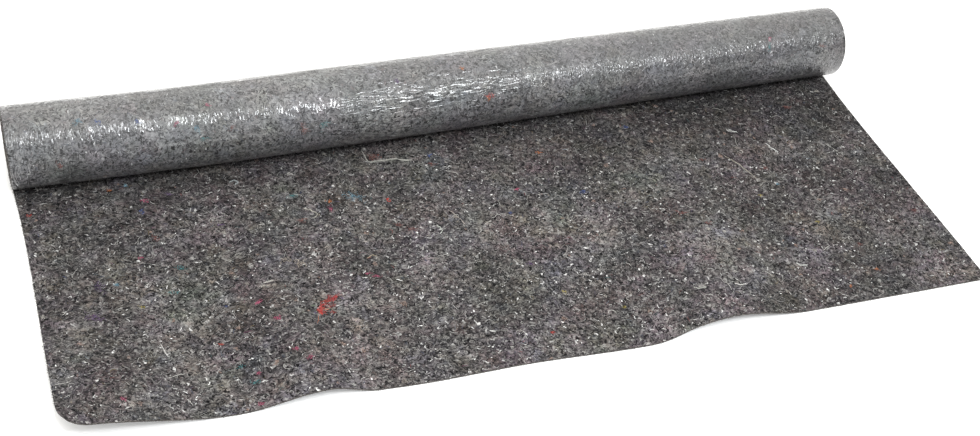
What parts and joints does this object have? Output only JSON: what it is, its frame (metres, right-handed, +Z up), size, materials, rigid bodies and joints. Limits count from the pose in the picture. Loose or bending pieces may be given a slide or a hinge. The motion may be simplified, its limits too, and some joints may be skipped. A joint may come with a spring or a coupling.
{
  "type": "roll of felt",
  "caption": "Roll of grey recycled felt with a film-backed outside, its loose end laid out flat in front of it, for covering floors.",
  "frame": {"origin": "centre of the bounding box's bottom face, on the floor that the cloth lies on", "axes": "+X along the roll, +Y from the loose end towards the roll, +Z up from the floor"},
  "size_m": [1, 0.4294, 0.0906],
  "materials": {
    "film_side": "clear wrinkled film over grey felt",
    "felt_side": "needled mixed fibres"
  },
  "bodies": {
    "root": {"wound_roll": "film_side", "loose_end": "felt_side"}
  },
  "joints": []
}
